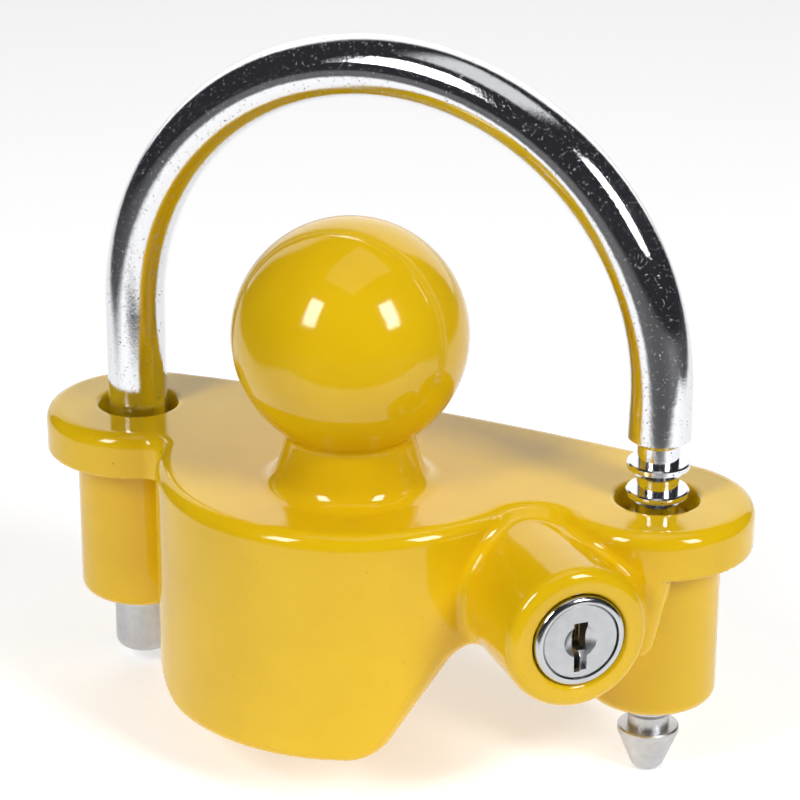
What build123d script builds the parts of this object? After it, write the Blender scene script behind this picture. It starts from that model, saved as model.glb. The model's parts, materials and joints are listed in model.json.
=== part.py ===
"""Trailer coupler lock: a cast ball body, a ratchet shackle and a key-operated bolt.

Millimetres, +Z up. The origin is the centre of the dummy ball. The legs of the
shackle stand in a row along X behind the ball, and -Y is the front of the body.
"""

import os
from math import cos, hypot, radians, sin, sqrt

from build123d import *

os.makedirs("parts", exist_ok=True)

# ---------------------------------------------------------------- driving sizes
BALL_R = 23.8  # dummy ball, 1 7/8 in
BALL_RISE = 31.0  # ball centre above the deck, the top face of the plate
NECK_R = 12.8
NECK_FLARE = 6.0

ROW_Y = 18.1  # row of shackle legs, behind the ball centre
LEG_X = 59.3  # leg axis, either side of the middle
LEG_BORE_R = 7.2
BORE_LIP = 1.9

PLATE_T = 10.0
EAR_X = 58.8
EAR_R = 20.1
BACK_BULGE = 24.4  # back edge of the plate at mid length, behind the row
CUP_CENTRE = (-4.5, -8.0)  # front cup, measured from the middle of the row
CUP_R = 40.5
DECK_EDGE_R = 3.0

WALL = 5.0
TONGUE_DEPTH = 49.5
SIDE_DEPTH = 27.0
BACK_DEPTH = 20.0
RIM_EDGE_R = 2.0
BOSS_R = 13.3
BOSS_DEPTH = 43.3
BOSS_EDGE_R = 2.4

ROD_R = 6.35  # half-inch rod
BEND_RISE = 22.0  # centre of the shackle's half circle above the deck
LEFT_END = -57.6
LEFT_END_R = 2.0
ROD_SHOULDER = 13.0  # the right leg is full rod down to here
RING_TOP = 7.93  # flat top of the highest ring
RING_PITCH = 5.893
RING_COUNT = 11
RING_RIM = 1.3
RING_HEIGHT = 3.1
RING_CHAMFER = 0.3
GROOVE_R = 4.3
TIP_R = 2.77
TIP_END = -60.7

TUBE_R = 14.8
TUBE_DEPTH = 17.0  # lock axis below the deck
TUBE_FACE = (57.0, -34.8)  # centre of the tube's face, from the middle of the row
TUBE_LENGTH = 31.0
TUBE_EDGE_R = 2.6

BEZEL_R = 9.45
BEZEL_POCKET_R = 9.65
BEZEL_T = 2.2
BEZEL_RECESS = -0.6  # the bezel stands proud of the tube
BEZEL_EDGE_R = 1.1
BARREL_R = 8.6
BARREL_END = 15.4
PLUG_HEAD_R = 7.9
PLUG_HEAD_T = 1.6
PLUG_R = 6.2
PLUG_FACE = -0.3
PLUG_END = 16.9
DISH_R = 3.4
FIT = 0.05  # radial clearance of what turns or slides
CAVITY_END = 27.3

# keyway as (centre, size) in the plug's face, and the shallow step beside it
KEYWAY = (((0.0, 0.65), (2.9, 6.7)), ((-0.65, -4.2), (1.3, 4.4)))
KEYWAY_STEP = ((0.72, -4.4), (1.35, 3.4))
KEYWAY_DEPTH = 14.0
KEYWAY_STEP_DEPTH = 1.6

WAFER_COUNT = 6
WAFER_FIRST = 3.9
WAFER_PITCH = 1.8
WAFER_T = 0.8
WAFER_W = 5.0
WAFER_H = 10.8
WAFER_WINDOW = (2.7, 6.0)
WAFER_WINDOW_SHIFT = (-0.8, 0.0, -0.4, -1.2, -0.4)  # cut heights of the key
WAFER_EAR = 1.5
WAFER_EAR_H = 1.2
EAR_TOP = 2.2
EAR_POCKET = 7.0
WAFER_CHANNEL_H = 2.0
SPRING_R = 0.3
SPRING_WIRE_R = 0.1
SPRING_TURNS = 6

TAIL = 4.4
TAIL_LENGTH = 1.9
CLIP_T = 0.8
CLIP_R = 7.4
CLIP_GROOVE_R = 5.0
CAM_R = 6.4
CAM_START = 17.0
CAM_T = 3.4

CRANK_R = 2.12
CRANK_START = 225.0  # crank pin's angle at rest: down and away from the shackle
CRANK_PIN_R = 1.0
CRANK_PIN_END = 24.0
PIN_PLAY = 0.15
BOLT_R = 4.0
BOLT_NOSE_GAP = 7.65  # nose to leg axis, bolt withdrawn
BOLT_TAIL = 6.4
BOLT_FLAT = 2.3  # flat beside the cam, from the bolt's axis
BOLT_FLAT_END = 8.0
BOLT_HOUSING_R = 7.0
CHANNEL_BLIND = 11.2
NOSE_T = 2.2
NOSE_LENGTH = 2.3
NOSE_BEVEL = 1.0
GROOVE_INDEX = 5  # groove that faces the bolt
BOLT_SPRING_R = 2.6
BOLT_SPRING_WIRE_R = 0.3

GRUB_R = 2.5
GRUB_DEPTH = 8.0  # behind the tube's face
GRUB_LENGTH = 6.0
GRUB_BITE = 0.8

# ------------------------------------------------------------------- work planes
DECK = Plane((0, ROW_Y, -BALL_RISE))
FRONT = Plane(DECK.origin, x_dir=(1, 0, 0), z_dir=(0, -1, 0))
SIDE = Plane(DECK.origin, x_dir=(0, 1, 0), z_dir=(1, 0, 0))

OUTWARD = Vector(1, -1, 0).normalized()
TO_LEG = Vector(1, 1, 0).normalized()
face_centre = DECK.from_local_coords(Vector(*TUBE_FACE, -TUBE_DEPTH))
LOCK = Plane(face_centre, x_dir=TO_LEG, z_dir=OUTWARD)

leg_foot = DECK.from_local_coords(Vector(LEG_X, 0, -TUBE_DEPTH)) - face_centre
BOLT_DEPTH = -leg_foot.dot(OUTWARD)
BOLT_REACH = leg_foot.dot(TO_LEG)
groove_middle = RING_TOP - GROOVE_INDEX * RING_PITCH + (RING_PITCH - RING_HEIGHT) / 2
BOLT_DROP = -TUBE_DEPTH - groove_middle
BOLT = Plane(
    face_centre - OUTWARD * BOLT_DEPTH - Vector(0, 0, BOLT_DROP),
    x_dir=-OUTWARD,
    z_dir=TO_LEG,
)
BOLT_SIDE = Plane(BOLT.origin, x_dir=TO_LEG, z_dir=OUTWARD)
SCREW = Plane(face_centre - OUTWARD * GRUB_DEPTH, x_dir=OUTWARD, z_dir=(0, 0, -1))


def save(builder, name):
    """Label a finished piece and write its STEP file."""
    builder.part.label = name
    export_step(builder.part, f"parts/{name}.step")


def rolled_centre(first, first_r, second, second_r, roll_r):
    """Centre of a circle that rolls in the front valley between two circles."""
    span = Vector(*second) - Vector(*first)
    reach_1 = first_r + roll_r
    reach_2 = second_r + roll_r
    along = (span.length**2 + reach_1**2 - reach_2**2) / (2 * span.length)
    aside = sqrt(reach_1**2 - along**2)
    unit = span.normalized()
    centre = Vector(*first) + unit * along + Vector(unit.Y, -unit.X, 0) * aside
    return (centre.X, centre.Y)


def coil_spring(plane, height, radius, wire_r, turns):
    """Round-wire compression spring that starts on the plane and runs along its normal."""
    with BuildPart() as spring:
        with BuildLine() as path:
            Helix(height / turns, height, radius, center=plane.origin, direction=plane.z_dir)
        with BuildSketch(Plane(path.line @ 0, z_dir=path.line % 0)):
            Circle(wire_r)
        sweep(path=path.wires()[0], is_frenet=True)
    return spring


# ------------------------------------------------------------------ body casting
LEFT_EAR = (-EAR_X, 0)
RIGHT_EAR = (EAR_X, 0)
LEFT_ROLL_R = 4.0
RIGHT_ROLL_R = 8.0
left_roll = rolled_centre(LEFT_EAR, EAR_R, CUP_CENTRE, CUP_R, LEFT_ROLL_R)
right_roll = rolled_centre(CUP_CENTRE, CUP_R, RIGHT_EAR, EAR_R, RIGHT_ROLL_R)

back_r = (EAR_X**2 + BACK_BULGE**2 - EAR_R**2) / (2 * (BACK_BULGE - EAR_R))
BACK_CENTRE = (0, BACK_BULGE - back_r)


def towards(start, end, distance):
    """Point at a distance from start on the line to end, negative for away from it."""
    unit = (Vector(*end) - Vector(*start)).normalized()
    return Vector(*start) + unit * distance


def plan_outline(inset):
    """Six tangent arcs round the plate: back, two ears, cup and two valleys."""
    ear = EAR_R - inset
    cup = CUP_R - inset
    right_back = towards(RIGHT_EAR, BACK_CENTRE, -ear)
    right_valley = towards(RIGHT_EAR, right_roll, ear)
    cup_right = towards(CUP_CENTRE, right_roll, cup)
    cup_left = towards(CUP_CENTRE, left_roll, cup)
    left_valley = towards(LEFT_EAR, left_roll, ear)
    left_back = towards(LEFT_EAR, BACK_CENTRE, -ear)
    with BuildSketch() as plan:
        with BuildLine():
            ThreePointArc(left_back, (0, BACK_BULGE - inset), right_back)
            ThreePointArc(right_back, (EAR_X + ear, 0), right_valley)
            top = (right_roll[0], right_roll[1] + RIGHT_ROLL_R + inset)
            ThreePointArc(right_valley, top, cup_right)
            ThreePointArc(cup_right, (CUP_CENTRE[0], CUP_CENTRE[1] - cup), cup_left)
            top = (left_roll[0], left_roll[1] + LEFT_ROLL_R + inset)
            ThreePointArc(cup_left, top, left_valley)
            ThreePointArc(left_valley, (-EAR_X - ear, 0), left_back)
        make_face()
    return plan.sketch


outline = plan_outline(0)
hollow_outline = plan_outline(WALL)

# The front skirt seen from the front: a deep tongue and a shallow side wall.
TONGUE_LEFT = CUP_CENTRE[0] - CUP_R
SIDE_WALL_END = 68.3
TONGUE_CORNERS = (
    ((TONGUE_LEFT, -TONGUE_DEPTH), 18),
    ((16.3, -TONGUE_DEPTH), 8),
    ((28.6, -SIDE_DEPTH), 6),
)
with BuildSketch(FRONT) as tongue_front:
    with BuildLine():
        Polyline(
            (TONGUE_LEFT, 0),
            *(corner for corner, radius in TONGUE_CORNERS),
            (63.5, -SIDE_DEPTH),
            (SIDE_WALL_END, -PLATE_T),
            (SIDE_WALL_END, 0),
            close=True,
        )
    make_face()
    for corner, radius in TONGUE_CORNERS:
        fillet(tongue_front.vertices().sort_by_distance(corner)[0], radius)

# The front skirt seen from the side: it ends in a slope under the middle of the plate.
with BuildSketch(SIDE) as tongue_side:
    Polygon(
        (-60, 0),
        (-60, -TONGUE_DEPTH),
        (-16, -TONGUE_DEPTH),
        (-2, -PLATE_T),
        (-2, 0),
        align=None,
    )


def on_outer_wall(edge):
    """True for an edge that follows the outer wall of the cup or of a valley."""
    circles = ((CUP_CENTRE, CUP_R), (right_roll, RIGHT_ROLL_R), (RIGHT_EAR, EAR_R))
    for share in (0.1, 0.5, 0.9):
        point = DECK.to_local_coords(edge.position_at(share))
        gaps = (abs(hypot(point.X - c[0], point.Y - c[1]) - r) for c, r in circles)
        if min(gaps) > 0.01:
            return False
    return abs(edge.tangent_at(0.5).Z) < 0.9 and point.Z < -PLATE_T


with BuildPart() as skirt:
    with BuildSketch(DECK.offset(-PLATE_T / 2)):
        add(outline)
    extrude(amount=PLATE_T / 2 - TONGUE_DEPTH)
    extrude(tongue_front.sketch, amount=80, both=True, mode=Mode.INTERSECT)
    extrude(tongue_side.sketch, amount=80, both=True, mode=Mode.INTERSECT)
    fillet(skirt.edges().filter_by(on_outer_wall), RIM_EDGE_R)
    with BuildSketch(DECK.offset(-PLATE_T)):
        add(hollow_outline)
    extrude(amount=-TONGUE_DEPTH, mode=Mode.SUBTRACT)

with BuildSketch(FRONT.offset(-(BACK_BULGE + 2))) as back_front:
    Polygon(
        (-62, -PLATE_T / 2),
        (-50, -BACK_DEPTH),
        (50, -BACK_DEPTH),
        (62, -PLATE_T / 2),
        align=None,
    )

with BuildPart() as back_rim:
    with BuildSketch(DECK.offset(-PLATE_T / 2)):
        add(outline)
        add(hollow_outline, mode=Mode.SUBTRACT)
    extrude(amount=PLATE_T / 2 - BACK_DEPTH)
    extrude(back_front.sketch, amount=BACK_BULGE - BOSS_R / 2, mode=Mode.INTERSECT)

with BuildPart() as ball_and_neck:
    with BuildSketch(Plane.XZ):
        with BuildLine():
            ball_low = -sqrt(BALL_R**2 - NECK_R**2)
            flare_top = -BALL_RISE + NECK_FLARE
            flare_mid = NECK_R + NECK_FLARE * (1 - cos(radians(45)))
            ThreePointArc((0, BALL_R), (BALL_R, 0), (NECK_R, ball_low))
            Line((NECK_R, ball_low), (NECK_R, flare_top))
            ThreePointArc(
                (NECK_R, flare_top),
                (flare_mid, flare_top - NECK_FLARE * sin(radians(45))),
                (NECK_R + NECK_FLARE, -BALL_RISE),
            )
            Polyline(
                (NECK_R + NECK_FLARE, -BALL_RISE),
                (NECK_R + NECK_FLARE, -BALL_RISE - PLATE_T / 2),
                (0, -BALL_RISE - PLATE_T / 2),
                (0, BALL_R),
            )
        make_face()
    revolve(axis=Axis.Z)

with BuildPart() as body_casting:
    with BuildSketch(DECK):
        add(outline)
    extrude(amount=-PLATE_T)
    fillet(body_casting.faces().sort_by(Axis.Z)[-1].edges(), DECK_EDGE_R)
    add(skirt.part)
    add(back_rim.part)
    add(ball_and_neck.part)
    # leg bosses
    with BuildSketch(DECK.offset(-PLATE_T / 2)):
        with Locations((-LEG_X, 0), (LEG_X, 0)):
            Circle(BOSS_R)
    extrude(amount=PLATE_T / 2 - BOSS_DEPTH)
    fillet(
        body_casting.edges()
        .filter_by(GeomType.CIRCLE)
        .filter_by(lambda edge: abs(edge.center().Z + BALL_RISE + BOSS_DEPTH) < 0.01),
        BOSS_EDGE_R,
    )
    # lock tube and the housing of the bolt
    with BuildSketch(LOCK):
        Circle(TUBE_R)
    extrude(amount=-TUBE_LENGTH)
    fillet(
        body_casting.edges()
        .filter_by(GeomType.CIRCLE)
        .filter_by(lambda edge: (edge.arc_center - face_centre).length < 0.01),
        TUBE_EDGE_R,
    )
    with BuildSketch(BOLT):
        Circle(BOLT_HOUSING_R)
    extrude(amount=BOLT_REACH)
    # leg bores with rounded lips
    with BuildSketch(DECK):
        with Locations((-LEG_X, 0), (LEG_X, 0)):
            Circle(LEG_BORE_R)
    extrude(amount=-BOSS_DEPTH, mode=Mode.SUBTRACT)
    fillet(
        body_casting.edges()
        .filter_by(GeomType.CIRCLE)
        .filter_by(lambda edge: abs(edge.center().Z + BALL_RISE) < 0.01 and edge.radius < 8),
        BORE_LIP,
    )
    # pocket of the bezel, bore of the barrel and space for the cam
    with BuildSketch(LOCK):
        Circle(BEZEL_POCKET_R)
    extrude(amount=-(BEZEL_RECESS + BEZEL_T), mode=Mode.SUBTRACT)
    with BuildSketch(LOCK):
        Circle(BARREL_R + FIT)
    extrude(amount=-CAVITY_END, mode=Mode.SUBTRACT)
    # bolt channel, drilled from the back of the right boss
    with BuildSketch(BOLT.offset(-CHANNEL_BLIND)):
        Circle(BOLT_R + FIT)
    extrude(amount=CHANNEL_BLIND + BOLT_REACH + BOSS_R + 1, mode=Mode.SUBTRACT)
    # threaded hole of the grub screw that holds the barrel
    with BuildSketch(SCREW):
        Circle(GRUB_R + FIT / 2)
    extrude(amount=TUBE_R, mode=Mode.SUBTRACT)

save(body_casting, "body_casting")

# ----------------------------------------------------------------------- shackle
with BuildPart() as shackle:
    with BuildLine(FRONT) as shackle_path:
        Line((-LEG_X, LEFT_END), (-LEG_X, BEND_RISE))
        CenterArc((0, BEND_RISE), LEG_X, 180, -180)
        Line((LEG_X, BEND_RISE), (LEG_X, ROD_SHOULDER))
    with BuildSketch(DECK.offset(LEFT_END)):
        with Locations((-LEG_X, 0)):
            Circle(ROD_R)
    sweep(path=shackle_path.wires()[0])
    fillet(shackle.edges().sort_by(Axis.Z)[0], LEFT_END_R)
    # toothed right leg: flat-topped rings that taper down to the groove
    taper = [(0, ROD_SHOULDER), (ROD_R, ROD_SHOULDER), (GROOVE_R, ROD_SHOULDER - 1.5)]
    for index in range(RING_COUNT):
        top = RING_TOP - index * RING_PITCH
        taper += [
            (GROOVE_R, top),
            (ROD_R - RING_CHAMFER, top),
            (ROD_R, top - RING_CHAMFER),
            (ROD_R, top - RING_RIM),
        ]
        if index < RING_COUNT - 1:
            taper.append((GROOVE_R, top - RING_HEIGHT))
    taper += [(TIP_R + 0.6, TIP_END + 1), (TIP_R, TIP_END + 0.3), (TIP_R - 0.5, TIP_END), (0, TIP_END)]
    with BuildSketch(FRONT):
        with BuildLine():
            Polyline(*((LEG_X + radius, height) for radius, height in taper), close=True)
        make_face()
    leg_axis = Axis(DECK.from_local_coords(Vector(LEG_X, 0, 0)), (0, 0, 1))
    revolve(axis=leg_axis)

save(shackle, "shackle")

# ------------------------------------------------------------------- lock barrel
with BuildPart() as lock_barrel:
    with BuildSketch(LOCK.offset(-BEZEL_RECESS)):
        Circle(BEZEL_R)
    extrude(amount=-BEZEL_T + FIT)
    fillet(lock_barrel.faces().sort_by(Axis(face_centre, OUTWARD))[-1].edges(), BEZEL_EDGE_R)
    with BuildSketch(LOCK.offset(-BEZEL_RECESS - BEZEL_T / 2)):
        Circle(BARREL_R)
    extrude(amount=-(BARREL_END - BEZEL_RECESS - BEZEL_T / 2))
    with BuildSketch(LOCK.offset(-BEZEL_RECESS)):
        Circle(PLUG_HEAD_R + 2 * FIT)
    extrude(amount=-(PLUG_FACE + PLUG_HEAD_T - BEZEL_RECESS + FIT), mode=Mode.SUBTRACT)
    with BuildSketch(LOCK):
        Circle(PLUG_R + FIT)
    extrude(amount=-BARREL_END - 1, mode=Mode.SUBTRACT)
    # channels that the wafers drop into when the key is out
    with BuildSketch(LOCK.offset(-PLUG_FACE - PLUG_HEAD_T - FIT)):
        for side in (1, -1):
            with Locations((0, side * PLUG_R)):
                Rectangle(WAFER_W + 0.6, WAFER_CHANNEL_H)
    extrude(amount=-(BARREL_END - PLUG_FACE - PLUG_HEAD_T - 1.2), mode=Mode.SUBTRACT)
    # dimple under the grub screw
    with BuildSketch(SCREW.offset(BARREL_R - GRUB_BITE)):
        Circle(GRUB_R + FIT)
    extrude(amount=2, mode=Mode.SUBTRACT)

save(lock_barrel, "lock_barrel")

# --------------------------------------------------------------------- lock plug
with BuildPart() as lock_plug:
    with BuildSketch(LOCK.offset(-PLUG_FACE)):
        Circle(PLUG_HEAD_R)
    extrude(amount=-PLUG_HEAD_T)
    chamfer(lock_plug.faces().sort_by(Axis(face_centre, OUTWARD))[-1].edges(), 0.35)
    with BuildSketch(LOCK.offset(-PLUG_FACE)):
        Circle(PLUG_R)
    extrude(amount=-(PLUG_END - PLUG_FACE))
    # square tail for the cam
    with BuildSketch(LOCK.offset(-PLUG_END)):
        Rectangle(TAIL, TAIL)
    extrude(amount=-TAIL_LENGTH)
    # groove for the retaining clip
    with BuildSketch(LOCK.offset(-BARREL_END - FIT)):
        Circle(PLUG_R + 1)
        Circle(CLIP_GROOVE_R, mode=Mode.SUBTRACT)
    extrude(amount=-CLIP_T - 2 * FIT, mode=Mode.SUBTRACT)
    # dished centre of the face
    with Locations(LOCK.from_local_coords(Vector(0, 0, DISH_R * 1.1 - PLUG_FACE))):
        Sphere(hypot(DISH_R, DISH_R * 1.1), mode=Mode.SUBTRACT)
    # stepped keyway
    with BuildSketch(LOCK.offset(-PLUG_FACE)):
        for centre, size in KEYWAY:
            with Locations(centre):
                Rectangle(*size)
    extrude(amount=-KEYWAY_DEPTH, mode=Mode.SUBTRACT)
    with BuildSketch(LOCK.offset(-PLUG_FACE)):
        with Locations(KEYWAY_STEP[0]):
            Rectangle(*KEYWAY_STEP[1])
    extrude(amount=-KEYWAY_STEP_DEPTH, mode=Mode.SUBTRACT)
    # slots for the wafers and pockets for their springs
    for index in range(WAFER_COUNT):
        depth = WAFER_FIRST + index * WAFER_PITCH
        with BuildSketch(LOCK.offset(-depth + FIT)):
            Rectangle(WAFER_W + 2 * FIT, 2 * PLUG_R)
            with Locations((WAFER_W / 2 + WAFER_EAR / 2, 0)):
                Rectangle(WAFER_EAR + 2 * FIT, EAR_POCKET)
        extrude(amount=-WAFER_T - 2 * FIT, mode=Mode.SUBTRACT)

save(lock_plug, "lock_plug")

# ------------------------------------------------------------ wafers and springs
for index in range(WAFER_COUNT):
    depth = WAFER_FIRST + index * WAFER_PITCH
    with BuildPart() as wafer:
        with BuildSketch(LOCK.offset(-depth)):
            Rectangle(WAFER_W, WAFER_H)
            with Locations((WAFER_W / 2 + WAFER_EAR / 2, EAR_TOP)):
                Rectangle(WAFER_EAR, WAFER_EAR_H)
            with Locations((0, WAFER_WINDOW_SHIFT[index % len(WAFER_WINDOW_SHIFT)])):
                Rectangle(*WAFER_WINDOW, mode=Mode.SUBTRACT)
        extrude(amount=-WAFER_T)
    save(wafer, f"wafer_{index + 1}")

    ear_middle = WAFER_W / 2 + WAFER_EAR / 2
    seat = Vector(ear_middle, SPRING_WIRE_R + FIT - EAR_POCKET / 2, -depth - WAFER_T / 2)
    spring_height = EAR_TOP - WAFER_EAR_H / 2 - FIT - SPRING_WIRE_R - seat.Y
    spring_plane = Plane(LOCK.from_local_coords(seat), z_dir=(0, 0, 1))
    wafer_spring = coil_spring(
        spring_plane, spring_height, SPRING_R, SPRING_WIRE_R, SPRING_TURNS
    )
    save(wafer_spring, f"wafer_spring_{index + 1}")

# ------------------------------------------------------- plug's clip and drive cam
with BuildPart() as plug_clip:
    with BuildSketch(LOCK.offset(-BARREL_END - 2 * FIT)):
        Circle(CLIP_R)
        Circle(CLIP_GROOVE_R + FIT, mode=Mode.SUBTRACT)
        with Locations((0, CLIP_R)):
            Rectangle(CLIP_R, 2 * CLIP_R, mode=Mode.SUBTRACT)
    extrude(amount=-CLIP_T)

save(plug_clip, "plug_clip")

with BuildPart() as drive_cam:
    with BuildSketch(LOCK.offset(-CAM_START)):
        Circle(CAM_R)
    extrude(amount=-CAM_T)
    with BuildSketch(LOCK.offset(-CAM_START)):
        Rectangle(TAIL + 2 * FIT, TAIL + 2 * FIT)
    extrude(amount=-TAIL_LENGTH, mode=Mode.SUBTRACT)
    with BuildSketch(LOCK.offset(-CAM_START - CAM_T)):
        with PolarLocations(CRANK_R, 1, start_angle=CRANK_START):
            Circle(CRANK_PIN_R)
    extrude(amount=CAM_START + CAM_T - CRANK_PIN_END)

save(drive_cam, "drive_cam")

# -------------------------------------------------------------- bolt and its spring
bolt_tip = BOLT_REACH - BOLT_NOSE_GAP
bolt_shoulder = bolt_tip - NOSE_LENGTH
with BuildPart() as lock_bolt:
    with BuildSketch(BOLT.offset(-BOLT_TAIL)):
        Circle(BOLT_R)
    extrude(amount=BOLT_TAIL + bolt_tip)
    # flat blade with a bevelled top, which slips past the tapered rings
    with BuildSketch(BOLT_SIDE):
        with Locations((bolt_shoulder, 0)):
            Rectangle(2 * BOLT_R, 4 * BOLT_R, align=(Align.MIN, Align.CENTER))
        Polygon(
            (bolt_shoulder, -NOSE_T / 2),
            (bolt_tip, -NOSE_T / 2),
            (bolt_tip, NOSE_T / 2 - NOSE_BEVEL),
            (bolt_tip - NOSE_BEVEL, NOSE_T / 2),
            (bolt_shoulder, NOSE_T / 2),
            align=None,
            mode=Mode.SUBTRACT,
        )
    extrude(amount=2 * BOLT_R, both=True, mode=Mode.SUBTRACT)
    # flat beside the cam
    with BuildSketch(BOLT.offset(-BOLT_TAIL)):
        with Locations((-BOLT_FLAT, 0)):
            Rectangle(2 * BOLT_R, 2 * BOLT_R, align=(Align.MAX, Align.CENTER))
    extrude(amount=BOLT_TAIL + BOLT_FLAT_END, mode=Mode.SUBTRACT)
    # upright slot for the crank pin
    pin_high = BOLT_DROP + CRANK_R * sin(radians(CRANK_START))
    pin_low = BOLT_DROP - CRANK_R
    pin_reach = CRANK_R * cos(radians(CRANK_START))
    slot_half = CRANK_PIN_R + PIN_PLAY
    with BuildSketch(BOLT_SIDE.offset(BOLT_FLAT)):
        with Locations((pin_reach, (pin_high + pin_low) / 2)):
            Rectangle(2 * slot_half, pin_high - pin_low + 2 * slot_half)
    extrude(amount=BOLT_DEPTH - CRANK_PIN_END - BOLT_FLAT - 4 * FIT, mode=Mode.SUBTRACT)

save(lock_bolt, "lock_bolt")

bolt_spring = coil_spring(
    BOLT.offset(-CHANNEL_BLIND + BOLT_SPRING_WIRE_R + FIT),
    CHANNEL_BLIND - BOLT_TAIL - 2 * (BOLT_SPRING_WIRE_R + FIT),
    BOLT_SPRING_R,
    BOLT_SPRING_WIRE_R,
    4,
)
save(bolt_spring, "bolt_spring")

with BuildPart() as bolt_channel_plug:
    with BuildSketch(BOLT.offset(BOLT_REACH + LEG_BORE_R + 1.4)):
        Circle(BOLT_R + FIT / 2)
    extrude(amount=BOSS_R - LEG_BORE_R - 2.2)
    chamfer(bolt_channel_plug.edges().filter_by(GeomType.CIRCLE), 0.3)

save(bolt_channel_plug, "bolt_channel_plug")

# -------------------------------------------------------------- barrel's grub screw
with BuildPart() as barrel_grub_screw:
    with BuildSketch(SCREW.offset(BARREL_R - GRUB_BITE + FIT)):
        Circle(GRUB_R)
    extrude(amount=GRUB_LENGTH)
    chamfer(barrel_grub_screw.edges().filter_by(GeomType.CIRCLE), 0.35)
    with BuildSketch(SCREW.offset(BARREL_R - GRUB_BITE + FIT + GRUB_LENGTH)):
        RegularPolygon(1.44, 6)
    extrude(amount=-2.4, mode=Mode.SUBTRACT)

save(barrel_grub_screw, "barrel_grub_screw")
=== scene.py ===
"""Trailer coupler lock: cast yellow body, chrome shackle and key cylinder, in metres."""

import json
from math import cos, pi, radians, sin

import bpy
import numpy as np
from mathutils import Matrix, Vector


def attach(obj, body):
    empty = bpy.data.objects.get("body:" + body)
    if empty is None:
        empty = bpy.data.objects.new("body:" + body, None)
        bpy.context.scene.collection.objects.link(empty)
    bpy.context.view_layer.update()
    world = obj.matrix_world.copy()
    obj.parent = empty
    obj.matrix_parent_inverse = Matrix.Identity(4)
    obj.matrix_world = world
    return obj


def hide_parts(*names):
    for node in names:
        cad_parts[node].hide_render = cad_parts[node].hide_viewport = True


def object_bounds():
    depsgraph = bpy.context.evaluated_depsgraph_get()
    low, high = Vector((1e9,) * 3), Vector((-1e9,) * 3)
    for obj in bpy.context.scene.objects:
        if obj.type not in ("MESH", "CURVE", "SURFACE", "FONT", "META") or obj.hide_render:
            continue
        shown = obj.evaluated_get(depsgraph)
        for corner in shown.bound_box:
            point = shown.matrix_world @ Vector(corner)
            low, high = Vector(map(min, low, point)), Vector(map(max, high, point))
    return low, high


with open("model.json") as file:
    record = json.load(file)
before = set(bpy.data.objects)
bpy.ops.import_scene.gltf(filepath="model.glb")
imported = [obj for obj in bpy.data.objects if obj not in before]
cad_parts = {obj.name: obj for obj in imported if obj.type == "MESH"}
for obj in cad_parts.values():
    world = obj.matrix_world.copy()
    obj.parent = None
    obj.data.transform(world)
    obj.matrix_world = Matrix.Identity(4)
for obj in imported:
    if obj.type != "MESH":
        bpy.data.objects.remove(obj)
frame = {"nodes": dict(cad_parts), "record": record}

cad_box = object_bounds()
nodes = frame["nodes"]
MM = 0.001

# ------------------------------------------------------------- places on the part
DECK_Z = -31.0  # top face of the plate, below the ball's centre, in mm
DULL_TOP = -76.0  # the shackle's ends are dull below this height, in mm
DULL_FADE = 1.5  # height over which the chrome fades into the dull end, in mm
ROW_Y = 18.1  # row of the shackle's legs, behind the ball's centre, in mm


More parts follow.
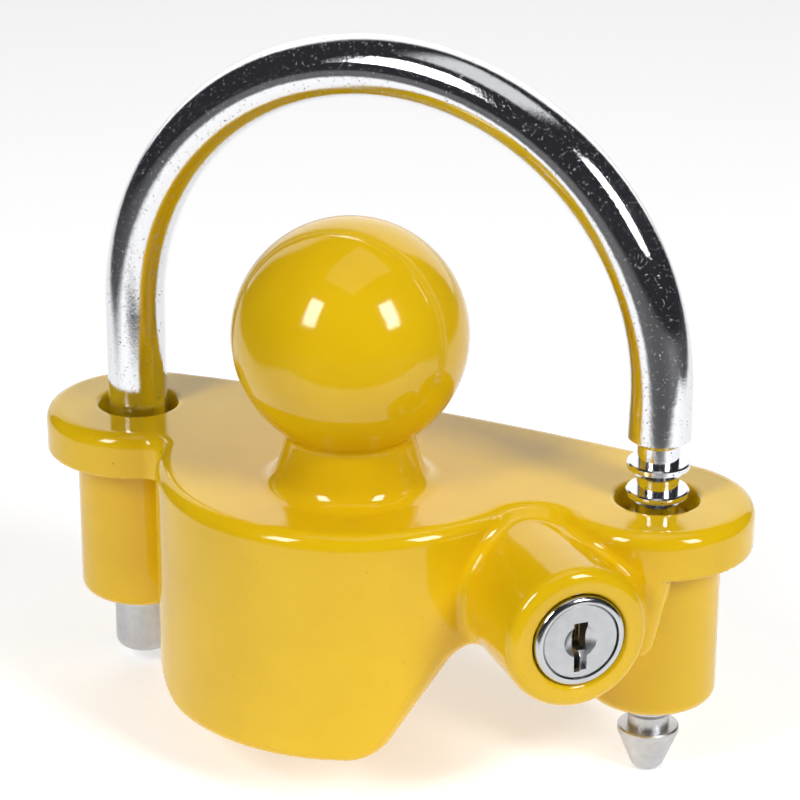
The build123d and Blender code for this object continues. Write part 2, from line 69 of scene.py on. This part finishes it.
# --------------------------------------------------------------- node tree helpers
class Nodes:
    """Shorthand for building one material's node tree."""

    def __init__(self, name):
        self.material = bpy.data.materials.new(name)
        self.material.use_nodes = True
        self.tree = self.material.node_tree
        self.shader = self.tree.nodes["Principled BSDF"]
        self.place = self.add("ShaderNodeTexCoord").outputs["Object"]

    def add(self, kind, **settings):
        node = self.tree.nodes.new(kind)
        for key, value in settings.items():
            setattr(node, key, value)
        return node

    def link(self, source, target):
        self.tree.links.new(source, target)

    def set(self, **values):
        for key, value in values.items():
            self.shader.inputs[key.replace("_", " ")].default_value = value

    def noise(self, scale, detail=3.0, rough=0.5, stretch=(1, 1, 1)):
        """Noise in object space; scale is in features per metre."""
        mapping = self.add("ShaderNodeMapping")
        mapping.inputs["Scale"].default_value = stretch
        self.link(self.place, mapping.inputs["Vector"])
        noise = self.add("ShaderNodeTexNoise")
        noise.inputs["Scale"].default_value = scale
        noise.inputs["Detail"].default_value = detail
        noise.inputs["Roughness"].default_value = rough
        self.link(mapping.outputs["Vector"], noise.inputs["Vector"])
        return noise.outputs["Fac"]

    def ramp(self, source, stops):
        """Colour ramp from (position, grey or colour) stops."""
        ramp = self.add("ShaderNodeValToRGB")
        elements = ramp.color_ramp.elements
        while len(elements) < len(stops):
            elements.new(0.5)
        for element, (position, value) in zip(elements, stops):
            element.position = position
            colour = (value, value, value) if isinstance(value, (int, float)) else value
            element.color = (*colour, 1.0)
        self.link(source, ramp.inputs["Fac"])
        return ramp.outputs["Color"]

    def math(self, operation, first, second=None, third=None):
        """Math node whose inputs are numbers or sockets."""
        node = self.add("ShaderNodeMath", operation=operation)
        for index, value in enumerate((first, second, third)):
            if value is None:
                continue
            if isinstance(value, (int, float)):
                node.inputs[index].default_value = value
            else:
                self.link(value, node.inputs[index])
        return node.outputs["Value"]

    def mix(self, factor, first, second):
        """Colour mix whose inputs are numbers, colours or sockets."""
        node = self.add("ShaderNodeMix", data_type="RGBA")
        for name, value in (("Factor", factor), ("A", first), ("B", second)):
            socket = node.inputs[name]
            if isinstance(value, tuple):
                socket.default_value = (*value, 1.0)
            elif isinstance(value, (int, float)):
                socket.default_value = value
            else:
                self.link(value, socket)
        return node.outputs["Result"]

    def bump(self, heights):
        """Chain of bumps, from (height, strength, distance in metres) entries."""
        normal = None
        for height, strength, distance in heights:
            bump = self.add("ShaderNodeBump")
            bump.inputs["Strength"].default_value = strength
            bump.inputs["Distance"].default_value = distance
            self.link(height, bump.inputs["Height"])
            if normal is not None:
                self.link(normal, bump.inputs["Normal"])
            normal = bump.outputs["Normal"]
        self.link(normal, self.shader.inputs["Normal"])


# ----------------------------------------------------------------------- materials
YELLOW_LOW, YELLOW_HIGH = (0.74, 0.455, 0.004), (0.82, 0.52, 0.006)
SPECK_BROWN = (0.42, 0.25, 0.01)
CHROME, PIT_GREY = (0.76, 0.77, 0.79), (0.22, 0.21, 0.21)
ZINC_LOW, ZINC_HIGH = (0.49, 0.50, 0.52), (0.57, 0.58, 0.60)
ZINC_ROUGHNESS = (0.36, 0.36, 0.36)


def yellow_paint():
    """Glossy safety-yellow coat over a cast surface."""
    m = Nodes("yellow_paint")
    cloud = m.noise(38, 4, 0.55)
    base = m.ramp(cloud, [(0.3, YELLOW_LOW), (0.7, YELLOW_HIGH)])
    specks = m.ramp(m.noise(1500, 2, 0.6), [(0.235, 1.0), (0.262, 0.0)])
    base = m.mix(specks, base, SPECK_BROWN)
    m.link(base, m.shader.inputs["Base Color"])
    rough = m.ramp(m.noise(220, 3), [(0.3, 0.06), (0.7, 0.12)])
    m.link(rough, m.shader.inputs["Roughness"])
    m.set(IOR=1.46)
    m.bump([
        (m.noise(55, 2), 0.35, 0.0004),
        (m.noise(900, 2), 0.05, 0.0002),
        (specks, 0.5, 0.00006),
    ])
    return m.material


def chrome_rod():
    """Chrome over drawn bar: fine grain, faint pits, and dull zinc at the leg ends."""
    m = Nodes("chrome_rod")
    split = m.add("ShaderNodeSeparateXYZ")
    m.link(m.place, split.inputs[0])
    dull = m.add("ShaderNodeMapRange", interpolation_type="SMOOTHSTEP")
    dull.inputs["From Min"].default_value = DULL_TOP * MM
    dull.inputs["From Max"].default_value = (DULL_TOP - DULL_FADE) * MM
    m.link(split.outputs["Z"], dull.inputs["Value"])
    dull = dull.outputs["Result"]
    pits = m.ramp(m.noise(1900, 2, 0.6), [(0.29, 1.0), (0.34, 0.0)])
    chrome = m.mix(pits, CHROME, PIT_GREY)
    zinc = m.ramp(m.noise(500, 4, 0.6), [(0.3, ZINC_LOW), (0.7, ZINC_HIGH)])
    m.link(m.mix(dull, chrome, zinc), m.shader.inputs["Base Color"])
    bright = m.ramp(m.noise(160, 4), [(0.35, 0.02), (0.7, 0.07)])
    m.link(m.mix(dull, bright, ZINC_ROUGHNESS), m.shader.inputs["Roughness"])
    m.set(Metallic=1.0)
    m.bump([
        (m.noise(150, 2), 0.12, 0.0002),
        (m.noise(900, 5, 0.8, (1, 1, 0.4)), 1.0, 0.00003),
        (pits, 0.8, 0.00005),
    ])
    return m.material


def satin_metal(name, colour, low, high, scale=900):
    """Plain worked metal whose roughness and tone vary a little."""
    m = Nodes(name)
    tone = m.noise(scale * 0.3, 3)
    darker = tuple(0.9 * c for c in colour)
    m.link(m.ramp(tone, [(0.3, darker), (0.7, colour)]), m.shader.inputs["Base Color"])
    m.link(m.ramp(m.noise(scale, 3), [(0.3, low), (0.7, high)]), m.shader.inputs["Roughness"])
    m.set(Metallic=1.0)
    m.bump([(m.noise(scale * 2.5, 2), 0.12, 0.0001)])
    return m.material


# slot: colour, lowest and highest roughness, grain in features per metre
METALS = {
    "bezel_chrome": ((0.56, 0.57, 0.58), 0.10, 0.20, 700),
    "plug_nickel": ((0.57, 0.585, 0.60), 0.28, 0.40, 1600),
    "spring_steel": ((0.55, 0.55, 0.56), 0.2, 0.35),
    "zinc_die_cast": ((0.58, 0.58, 0.60), 0.3, 0.45),
    "hardened_steel": ((0.50, 0.50, 0.52), 0.18, 0.32),
    "black_oxide": ((0.06, 0.06, 0.065), 0.35, 0.5),
    "wafer_brass": ((0.72, 0.52, 0.22), 0.2, 0.35),
}
MATERIALS = {"yellow_paint": yellow_paint(), "chrome_rod": chrome_rod()}
for slot, look in METALS.items():
    MATERIALS[slot] = satin_metal(slot, *look)
for entry in frame["record"]["subparts"]:
    mesh = nodes[entry["node"]].data
    mesh.materials.clear()
    mesh.materials.append(MATERIALS[entry["material_slot"]])


# ------------------------------------------------ cast body as one blended surface
# All lengths here are in mm, from the middle of the leg row on the deck: x right,
# y back, z up. Each function gives the signed distance to a shape, negative inside.
EAR_X, EAR_R = 58.8, 20.1
CUP_X, CUP_Y, CUP_R = -4.5, -8.0, 40.5
BACK_BULGE = 24.4  # how far the plate's back edge bows behind the leg row
LEFT_ROLL_R, RIGHT_ROLL_R = 4.0, 8.0  # radii of the valleys beside the cup
PLATE_T, WALL = 10.0, 5.0
PLATE_EDGE = 3.0
WALL_ROOT = -4.0  # the walls below start inside the plate, at this height
TONGUE_DEPTH, SIDE_DEPTH, BACK_DEPTH = 49.5, 27.0, 20.0
SLANT_Y, SLANT_RISE, SLANT_RUN = -2.0, 39.5, 14.0  # the tongue's rear edge leans
RIM_END_X, RIM_END_SLOPE, RIM_FRONT_Y = 50.0, 0.8, 8.65
WALL_EDGE = 1.2

LEG_X, BOSS_R, BOSS_DEPTH = 59.3, 13.3, 43.3
BOSS_EDGE, BOSS_BLEND = 2.4, 1.8
LEG_BORE_R, LEG_LIP = 7.2, 0.9
FUNNEL_R, FUNNEL_SLOPE = 8.6, 0.3  # the leg bores widen toward the deck

BALL_R, BALL_BLEND = 23.8, 1.0
NECK_R, NECK_BLEND = 12.5, 2.5
NECK_LOW, NECK_TOP = -5.0, 20.0
NECK_FOOT_R, NECK_SLOPE = 16.0, 0.62
FOOT_TOP, FOOT_BLEND = 10.0, 5.0

LOCK_X, LOCK_Y, LOCK_Z = 57.0, -34.8, -17.0  # middle of the lock tube's face
TUBE_R, TUBE_LENGTH = 14.8, 31.0
TUBE_EDGE, TUBE_BLEND = 2.6, 2.6
BEZEL_POCKET_R, BEZEL_POCKET_DEPTH, BEZEL_LIP = 9.55, 1.6, 1.1
BARREL_BORE_R, BARREL_BORE_DEPTH = 8.65, 27.3
GRUB_R, GRUB_DEPTH = 2.525, 8.0
BOLT_R, BOLT_DEPTH, BOLT_Z, BOLT_REACH = 7.0, 22.98, -20.14, 26.23
BOLT_BLEND = 1.5
BOLT_BORE_R, BOLT_BORE_START = 4.05, -11.2

HALF = 0.5**0.5  # the lock tube points halfway between right and front
GRID = 0.82  # spacing of the grid that the surface is made on
CORNERS = [(i, j, k) for i in (0, 1) for j in (0, 1) for k in (0, 1)]
BOX_LOW, BOX_HIGH = (-80, -51, -51), (80, 29, 57)


def rolled_centre(ax, ay, a_r, bx, by, b_r, roll_r):
    """Centre of a circle that rolls in the front valley between two circles."""
    span = Vector((bx - ax, by - ay))
    reach_a, reach_b = a_r + roll_r, b_r + roll_r
    along = (span.length_squared + reach_a**2 - reach_b**2) / (2 * span.length)
    aside = (reach_a**2 - along**2) ** 0.5
    unit = span.normalized()
    return ax + unit.x * along + unit.y * aside, ay + unit.y * along - unit.x * aside


def chain(u, v, pieces):
    """Signed distance to a smooth chain of lines and arcs, solid on its left hand."""
    best = np.full(u.shape, 1e3, np.float32)
    for piece in pieces:
        if piece[0] == "line":
            u0, v0, u1, v1 = piece[1:]
            length = np.hypot(u1 - u0, v1 - v0)
            du, dv = (u1 - u0) / length, (v1 - v0) / length
            along = (u - u0) * du + (v - v0) * dv
            aside = (u - u0) * dv - (v - v0) * du
            inside = (along >= -0.01) & (along <= length + 0.01)
        else:
            cu, cv, r, start, sweep = piece[1:]
            ru, rv = u - cu, v - cv
            angle = np.arctan2(rv, ru) - start
            angle = angle % (2 * pi) if sweep > 0 else (-angle) % (2 * pi)
            aside = (np.hypot(ru, rv) - r) * (1 if sweep > 0 else -1)
            inside = (angle <= abs(sweep) + 0.002) | (angle >= 2 * pi - 0.002)
        closer = inside & (np.abs(aside) < np.abs(best))
        best = np.where(closer, aside, best)
    return best


def plan_chain():
    """Outline of the plate: back, left ear, valley, cup, valley and right ear."""
    back_r = (EAR_X**2 + BACK_BULGE**2 - EAR_R**2) / (2 * (BACK_BULGE - EAR_R))
    back_y = BACK_BULGE - back_r
    left = rolled_centre(-EAR_X, 0, EAR_R, CUP_X, CUP_Y, CUP_R, LEFT_ROLL_R)
    right = rolled_centre(CUP_X, CUP_Y, CUP_R, EAR_X, 0, EAR_R, RIGHT_ROLL_R)

    def heading(ax, ay, bx, by):
        return np.arctan2(by - ay, bx - ax)

    back_left = heading(0, back_y, -EAR_X, 0)
    back_right = heading(0, back_y, EAR_X, 0)
    turns = (
        (0, back_y, back_r, back_right, back_left),
        (-EAR_X, 0, EAR_R, back_left, heading(-EAR_X, 0, *left)),
        (*left, LEFT_ROLL_R, heading(*left, -EAR_X, 0), heading(*left, CUP_X, CUP_Y)),
        (CUP_X, CUP_Y, CUP_R, heading(CUP_X, CUP_Y, *left), heading(CUP_X, CUP_Y, *right)),
        (*right, RIGHT_ROLL_R, heading(*right, CUP_X, CUP_Y), heading(*right, EAR_X, 0)),
        (EAR_X, 0, EAR_R, heading(EAR_X, 0, *right), back_right),
    )
    arcs = []
    for index, (x, y, r, start, end) in enumerate(turns):
        hollow = index in (2, 4)
        sweep = -((start - end) % (2 * pi)) if hollow else (end - start) % (2 * pi)
        arcs.append(("arc", x, y, r, start, sweep))
    return arcs


def rounded_chain(points, radii):
    """Lines through the points with an arc of the given radius at each inner one."""
    pieces = []
    start = Vector(points[0])
    for before, corner, after, radius in zip(points, points[1:], points[2:], radii):
        corner = Vector(corner)
        come = (corner - Vector(before)).normalized()
        go = (Vector(after) - corner).normalized()
        turn = np.arctan2(come.x * go.y - come.y * go.x, come.dot(go))
        trim = radius * abs(np.tan(turn / 2))
        side = 1 if turn > 0 else -1
        entry = corner - come * trim
        centre = entry + Vector((-come.y, come.x)) * radius * side
        pieces.append(("line", *start, *entry))
        begin = np.arctan2(entry.y - centre.y, entry.x - centre.x)
        pieces.append(("arc", *centre, radius, begin, turn))
        start = corner + go * trim
    pieces.append(("line", *start, *points[-1]))
    return pieces


PLAN = plan_chain()
TONGUE_TOP = 60
TONGUE = rounded_chain(
    (
        (CUP_X - CUP_R, TONGUE_TOP),
        (CUP_X - CUP_R, -TONGUE_DEPTH),
        (16.3, -TONGUE_DEPTH),
        (28.6, -SIDE_DEPTH),
        (65.0, -SIDE_DEPTH),
        (68.3, -PLATE_T),
        (68.3, TONGUE_TOP),
    ),
    (18, 8, 6, 3, 2),
)


def join(a, b, r):
    """Union with a concave blend of radius r."""
    corner = np.hypot(np.maximum(r - a, 0), np.maximum(r - b, 0))
    return np.maximum(r, np.minimum(a, b)) - corner


def both(a, b, r):
    """Intersection with its edge rounded to radius r."""
    corner = np.hypot(np.maximum(r + a, 0), np.maximum(r + b, 0))
    return np.minimum(-r, np.maximum(a, b)) + corner


def rod(across, along, radius, low, high, edge_low, edge_high):
    """Round bar between two flat ends, each with its own edge radius."""
    bar = both(across - radius, along - high, edge_high)
    return both(bar, low - along, edge_low)


def shell_distance(x, y, z):
    """The plate, the deep front tongue and the back rim."""
    plan = chain(x, y, PLAN)
    plate = both(both(plan, z, PLATE_EDGE), -PLATE_T - z, 1.0)
    wall = both(plan, -(plan + WALL), 1.0)

    tongue = both(wall, chain(x, z, TONGUE), 2.0)
    lean = (y - SLANT_Y) * SLANT_RISE - (z + PLATE_T) * SLANT_RUN
    slant = lean / np.hypot(SLANT_RISE, SLANT_RUN)
    tongue = both(tongue, np.maximum(slant, z - WALL_ROOT), WALL_EDGE)

    rim = both(wall, -BACK_DEPTH - z, WALL_EDGE)
    fall = np.abs(x) - RIM_END_X - (z + BACK_DEPTH) * RIM_END_SLOPE
    fall = fall / np.hypot(1, RIM_END_SLOPE)
    rim = both(rim, np.maximum(fall, z - WALL_ROOT), WALL_EDGE)
    rim = np.maximum(rim, RIM_FRONT_Y - y)
    return np.minimum(np.minimum(plate, tongue), rim)


def neck_distance(x, y, z):
    """The ball's neck and the cone it stands on."""
    middle = np.hypot(x, y + ROW_Y)
    neck = rod(middle, z, NECK_R, NECK_LOW, NECK_TOP, 1, 1)
    side = (middle + z * NECK_SLOPE - NECK_FOOT_R) * 0.85  # 0.85 = cosine of the slope
    foot = np.maximum(side, z - FOOT_TOP)
    return join(neck, np.maximum(foot, NECK_LOW - z), FOOT_BLEND)


def body_distance(x, y, z):
    """Signed distance to the whole casting."""
    side = np.where(x > 0, 1, -1)
    leg = np.hypot(x - side * LEG_X, y)
    out = (x - LOCK_X) * HALF - (y - LOCK_Y) * HALF
    across = (x - LOCK_X) * HALF + (y - LOCK_Y) * HALF
    lock = np.hypot(across, z - LOCK_Z)
    bolt = np.hypot(out + BOLT_DEPTH, z - BOLT_Z)

    boss = rod(leg, z, BOSS_R, -BOSS_DEPTH, WALL_ROOT, BOSS_EDGE, 1)
    housing = rod(bolt, across, BOLT_R, 0, BOLT_REACH, 1, 1)
    tube = rod(lock, out, TUBE_R, -TUBE_LENGTH, 0, 1, TUBE_EDGE)
    ball = np.sqrt(x**2 + (y + ROW_Y) ** 2 + (z + DECK_Z) ** 2) - BALL_R
    solid = join(shell_distance(x, y, z), boss, BOSS_BLEND)
    solid = join(solid, housing, BOLT_BLEND)
    solid = join(solid, tube, TUBE_BLEND)
    solid = join(solid, neck_distance(x, y, z), NECK_BLEND)
    solid = join(solid, ball, BALL_BLEND)

    funnel = np.maximum(LEG_BORE_R, FUNNEL_R + z * FUNNEL_SLOPE)
    solid = both(solid, (funnel - leg) * 0.96, LEG_LIP)  # 0.96 = cosine of the funnel
    pocket = np.maximum(lock - BEZEL_POCKET_R, -BEZEL_POCKET_DEPTH - out)
    solid = both(solid, -pocket, BEZEL_LIP)
    barrel_bore = np.maximum(lock - BARREL_BORE_R, -BARREL_BORE_DEPTH - out)
    solid = np.maximum(solid, -barrel_bore)
    bolt_bore = np.maximum(bolt - BOLT_BORE_R, BOLT_BORE_START - across)
    solid = np.maximum(solid, -bolt_bore)
    grub = np.hypot(out + GRUB_DEPTH, across)
    return np.maximum(solid, -np.maximum(grub - GRUB_R, z - LOCK_Z))


def sample_field(distance, axes):
    """The distance on a grid, computed in slabs so that it needs little memory."""
    grid = np.meshgrid(*axes, indexing="ij", sparse=True)
    field = np.empty(tuple(len(axis) for axis in axes), np.float32)
    slab = 16
    for start in range(0, len(axes[0]), slab):
        part = slice(start, start + slab)
        x, y, z = np.broadcast_arrays(grid[0][part], grid[1], grid[2])
        field[part] = distance(x, y, z)
    return field


def crossing_cells(inside):
    """Grid cells that the surface passes through, and each one's number."""
    shape = inside.shape
    count = np.zeros([n - 1 for n in shape], np.int8)
    for i, j, k in CORNERS:
        count += inside[i : shape[0] - 1 + i, j : shape[1] - 1 + j, k : shape[2] - 1 + k]
    cells = np.argwhere((count > 0) & (count < len(CORNERS)))
    index = np.full(count.shape, -1, np.int64)
    index[tuple(cells.T)] = np.arange(len(cells))
    return cells, index


def cell_points(field, cells):
    """One point per cell: the mean of where the surface cuts its edges."""
    total = np.zeros((len(cells), 3))
    hits = np.zeros((len(cells), 1))
    for axis in range(3):
        for start in CORNERS:
            if start[axis]:
                continue
            end = np.array(start)
            end[axis] = 1
            f0 = field[tuple((cells + start).T)]
            f1 = field[tuple((cells + end).T)]
            cut = (f0 < 0) != (f1 < 0)
            share = np.where(cut, f0 / np.where(cut, f0 - f1, 1), 0)
            point = np.array(start) + share[:, None] * (end - np.array(start))
            total += point * cut[:, None]
            hits += cut[:, None]
    return cells + total / hits


def axis_quads(inside, index, axis):
    """A quad round every grid edge along the axis that the surface cuts."""
    shape = inside.shape
    one, two = (axis + 1) % 3, (axis + 2) % 3
    cut = [slice(1, n - 1) for n in shape]
    cut[axis] = slice(0, shape[axis] - 1)
    ahead = list(cut)
    ahead[axis] = slice(1, shape[axis])
    here, there = inside[tuple(cut)], inside[tuple(ahead)]
    found = np.argwhere(here != there)
    offset = np.ones(3, int)
    offset[axis] = 0
    found += offset

    ring = []
    for a, b in ((0, 0), (1, 0), (1, 1), (0, 1)):
        step_back = np.zeros(3, int)
        step_back[one], step_back[two] = a, b
        ring.append(index[tuple((found - step_back).T)])
    ring = np.stack(ring, 1)
    outward = inside[tuple(found.T)]
    return np.where(outward[:, None], ring, ring[:, ::-1])


def surface_net(distance, low, high, step):
    """Vertices (mm) and quads of the zero surface of distance inside a box."""
    axes = [np.arange(a, b + step, step, dtype=np.float32) for a, b in zip(low, high)]
    field = sample_field(distance, axes)
    inside = field < 0
    cells, index = crossing_cells(inside)
    points = np.array(low) + cell_points(field, cells) * step
    quads = [axis_quads(inside, index, axis) for axis in range(3)]
    return points, np.concatenate(quads)


def slope_of(distance, points, reach=0.02):
    """Distance and its gradient at each point, by central differences."""
    steps = np.eye(3) * reach
    rises = [distance(*(points + s).T) - distance(*(points - s).T) for s in steps]
    return distance(*points.T), np.stack(rises, 1) / (2 * reach)


def settle(points):
    """Move each point onto the true surface, without leaving its own cell."""
    start = points.copy()
    for _ in range(4):
        value, gradient = slope_of(body_distance, points)
        size = np.maximum((gradient**2).sum(1), 0.2)
        points = points - gradient * (value / size)[:, None]
        points = start + np.clip(points - start, -0.45 * GRID, 0.45 * GRID)
    return points


def true_normals(points):
    """Normals of the surface itself, so that shading doesn't show the facets."""
    value, gradient = slope_of(body_distance, points, 0.05)
    return gradient / np.maximum(np.linalg.norm(gradient, axis=1), 1e-6)[:, None]


def cast_body():
    """The painted casting: its blends, which the plain solid lacks, and exact normals."""
    points, quads = surface_net(body_distance, BOX_LOW, BOX_HIGH, GRID)
    points = settle(points)
    normals = true_normals(points)
    place = (points + np.array((0, ROW_Y, DECK_Z))) * MM

    mesh = bpy.data.meshes.new("cast_body")
    mesh.from_pydata(place.tolist(), [], quads.tolist())
    mesh.shade_smooth()
    mesh.normals_split_custom_set_from_vertices(normals.tolist())
    mesh.materials.append(MATERIALS["yellow_paint"])
    piece = bpy.data.objects.new("cast_body", mesh)
    bpy.context.scene.collection.objects.link(piece)
    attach(piece, "body")
    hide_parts("body_casting")
    print("cast_body", len(points), "points", len(quads), "quads")


cast_body()


# ------------------------------------------------------------------ studio and camera
OPEN_SIDE = 24.6  # azimuth that the paper's front edge faces, in degrees
KEY_DISTANCE, KEY_SIZE = 1.4, (0.34, 0.60)
OVERHEAD_DISTANCE, OVERHEAD_SIZE = 1.3, (1.1, 0.8)
PAPER_GREY, BEYOND_GREY = (0.86, 0.88), (0.08, 0.08, 0.084)
PAPER_GLOW = 0.38
WALL_WHITE, ROOM_DARK = (1.42, 1.42, 1.42), (0.03, 0.03, 0.035)


def towards(azimuth, elevation):
    """Unit vector to a place round the object; azimuth 0 is in front, positive right."""
    flat = cos(elevation)
    return Vector((sin(azimuth) * flat, -cos(azimuth) * flat, sin(elevation)))


def soft_box(name, azimuth, elevation, distance, size, power):
    """Area light that faces the ball from the given angles in degrees."""
    data = bpy.data.lights.new(name, "AREA")
    data.shape = "RECTANGLE"
    data.size, data.size_y = size
    data.energy = power
    light = bpy.data.objects.new(name, data)
    bpy.context.scene.collection.objects.link(light)
    back = towards(radians(azimuth), radians(elevation))
    light.location = back * distance
    light.rotation_mode = "QUATERNION"
    light.rotation_quaternion = (-back).to_track_quat("-Z", "Y")


def open_side_axes(m):
    """Sideways, backward and upward coordinates, seen from the paper's open side."""
    spin = m.add("ShaderNodeVectorRotate", rotation_type="Z_AXIS")
    spin.inputs["Angle"].default_value = -radians(OPEN_SIDE)
    split = m.add("ShaderNodeSeparateXYZ")
    m.link(m.place, spin.inputs["Vector"])
    m.link(spin.outputs["Vector"], split.inputs[0])
    return split.outputs["X"], split.outputs["Y"], split.outputs["Z"]


def soft_step(m, value, low, high):
    """0 below low, 1 above high, smooth between."""
    step = m.add("ShaderNodeMapRange", interpolation_type="SMOOTHSTEP")
    step.inputs["From Min"].default_value = low
    step.inputs["From Max"].default_value = high
    m.link(value, step.inputs["Value"])
    return step.outputs["Result"]


def paper_floor():
    """White paper under the object, fading to grey past its front and side edges."""
    bpy.ops.mesh.primitive_plane_add(size=12, location=(0, 0, cad_box[0].z - 0.0002))
    floor = bpy.context.object
    floor.name = "floor"
    m = Nodes("floor_paper")
    side, back, _ = open_side_axes(m)
    front_edge = soft_step(m, back, -0.18, -0.145)
    width = m.math("MULTIPLY_ADD", m.math("MAXIMUM", back, 0.0), 0.6, 0.30)
    off_middle = m.math("ABSOLUTE", m.math("SUBTRACT", side, 0.05))
    side_edge = soft_step(m, m.math("SUBTRACT", width, off_middle), -0.05, 0.05)
    paper = m.math("MULTIPLY", front_edge, side_edge)
    fibre = m.ramp(m.noise(6, 2), [(0.3, PAPER_GREY[0]), (0.7, PAPER_GREY[1])])
    m.link(m.mix(paper, BEYOND_GREY, fibre), m.shader.inputs["Base Color"])
    m.link(m.math("MULTIPLY", paper, PAPER_GLOW), m.shader.inputs["Emission Strength"])
    m.set(Roughness=0.7, Emission_Color=(1, 1, 1, 1))
    floor.data.materials.append(m.material)


class WorldNodes(Nodes):
    """The same shorthand for the world's tree."""

    def __init__(self, world):
        world.use_nodes = True
        self.tree = world.node_tree
        self.shader = self.tree.nodes["Background"]
        self.place = self.add("ShaderNodeTexCoord").outputs["Generated"]


def dark_studio():
    """Dark room with a white paper background standing behind the object."""
    world = bpy.data.worlds.new("studio")
    bpy.context.scene.world = world
    m = WorldNodes(world)
    side, back, up = open_side_axes(m)
    aside = m.math("ABSOLUTE", side)
    wide = m.math("MULTIPLY_ADD", back, 0.87, m.math("MULTIPLY", aside, -1.0))
    tall = m.math("MULTIPLY_ADD", back, 1.12, m.math("MULTIPLY", up, -1.0))
    within = soft_step(m, wide, -0.06, 0.06)
    wall = m.math("MULTIPLY", within, soft_step(m, tall, -0.1, 0.1))
    m.link(m.mix(wall, ROOM_DARK, WALL_WHITE), m.shader.inputs["Color"])


def studio():
    """Floor, room, two soft boxes in front and a dim panel overhead."""
    paper_floor()
    dark_studio()
    soft_box("key_left", -19.4, 35.2, KEY_DISTANCE, KEY_SIZE, 10.4)
    soft_box("key_right", 71.6, 33.5, KEY_DISTANCE, KEY_SIZE, 11.6)
    soft_box("overhead", 77, 83.5, OVERHEAD_DISTANCE, OVERHEAD_SIZE, 2.2)


CAMERA_AZIMUTH, CAMERA_ELEVATION, CAMERA_ROLL = 24.62, 22.05, 0.29  # in degrees
CAMERA_DISTANCE = 0.6188  # in metres
CAMERA_TARGET = (2.65, 18.1, -20.1)  # in mm
LENS, SENSOR = 135.28, 36.0


def camera():
    """Long lens at the height of a standing viewer, to the right of the front."""
    back = towards(radians(CAMERA_AZIMUTH), radians(CAMERA_ELEVATION))
    data = bpy.data.cameras.new("camera")
    data.lens, data.sensor_width = LENS, SENSOR
    data.clip_start, data.clip_end = 0.05, 50
    cam = bpy.data.objects.new("camera", data)
    bpy.context.scene.collection.objects.link(cam)
    cam.location = Vector(CAMERA_TARGET) * MM + back * CAMERA_DISTANCE
    cam.rotation_mode = "QUATERNION"
    turn = Matrix.Rotation(radians(CAMERA_ROLL), 3, back).to_quaternion()
    cam.rotation_quaternion = turn @ (-back).to_track_quat("-Z", "Y")
    bpy.context.scene.camera = cam


camera()
studio()
bpy.context.scene.view_settings.view_transform = "Standard"
